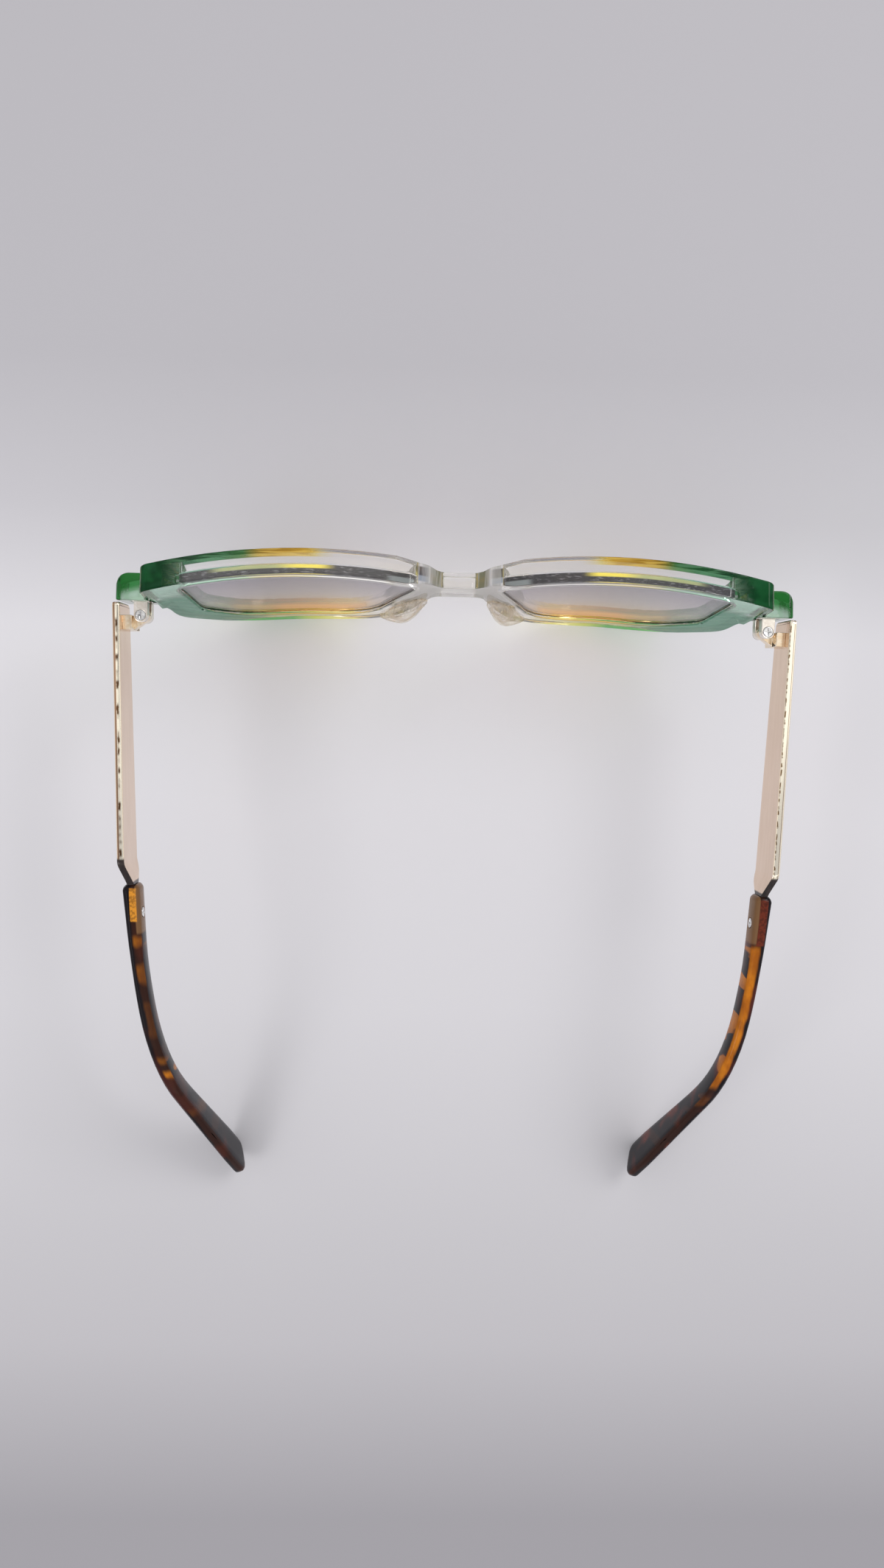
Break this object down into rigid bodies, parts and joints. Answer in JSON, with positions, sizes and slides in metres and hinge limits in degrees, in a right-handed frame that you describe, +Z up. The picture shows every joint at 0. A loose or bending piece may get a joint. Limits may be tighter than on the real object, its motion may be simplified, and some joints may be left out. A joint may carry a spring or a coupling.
{
  "type": "sunglasses",
  "caption": "Oversized sunglasses with a chunky gradient-tinted front, gradient lenses, wide polished plate temples and curved tortoise tips that fold on barrel hinges.",
  "frame": {"origin": "centre of the bounding box, at the height of the table the glasses stand on", "axes": "+X to the wearer's left, -Y the way the face looks, temples towards +Y, +Z up"},
  "size_m": [0.1482, 0.152, 0.0504],
  "materials": {
    "tinted_acetate": "clear acetate, tinted dark green at the ends through yellow to clear at the bridge, polished",
    "gradient_lens": "tinted grey-violet at the top to peach at the foot, polished",
    "clear_pad": "clear acetate, slightly beige",
    "hinge_metal": "nickel-plated, satin",
    "screw_steel": "polished steel",
    "plate_gold": "pale gold plated, polished",
    "tortoise_acetate": "tortoise acetate, polished"
  },
  "bodies": {
    "front": {"frame_front": "tinted_acetate", "lens_left": "gradient_lens", "lens_right": "gradient_lens", "nose_pad_left": "clear_pad", "nose_pad_right": "clear_pad", "front_hinge_left": "hinge_metal", "front_hinge_right": "hinge_metal", "hinge_screw_left": "screw_steel", "hinge_screw_right": "screw_steel"},
    "temple_left": {"temple_left": "plate_gold", "temple_hinge_left": "hinge_metal", "temple_tip_left": "tortoise_acetate", "tip_screw_left": "screw_steel"},
    "temple_right": {"temple_right": "plate_gold", "temple_hinge_right": "hinge_metal", "temple_tip_right": "tortoise_acetate", "tip_screw_right": "screw_steel"}
  },
  "joints": [
    {"name": "fold_left", "type": "hinge", "parent": "front", "child": "temple_left", "pos_m": [0.0686, -0.06155, 0.03714], "axis": [0, 0, 1], "range_deg": [0, 82]},
    {"name": "fold_right", "type": "hinge", "parent": "front", "child": "temple_right", "pos_m": [-0.0686, -0.06155, 0.03714], "axis": [0, 0, -1], "range_deg": [0, 66]}
  ]
}
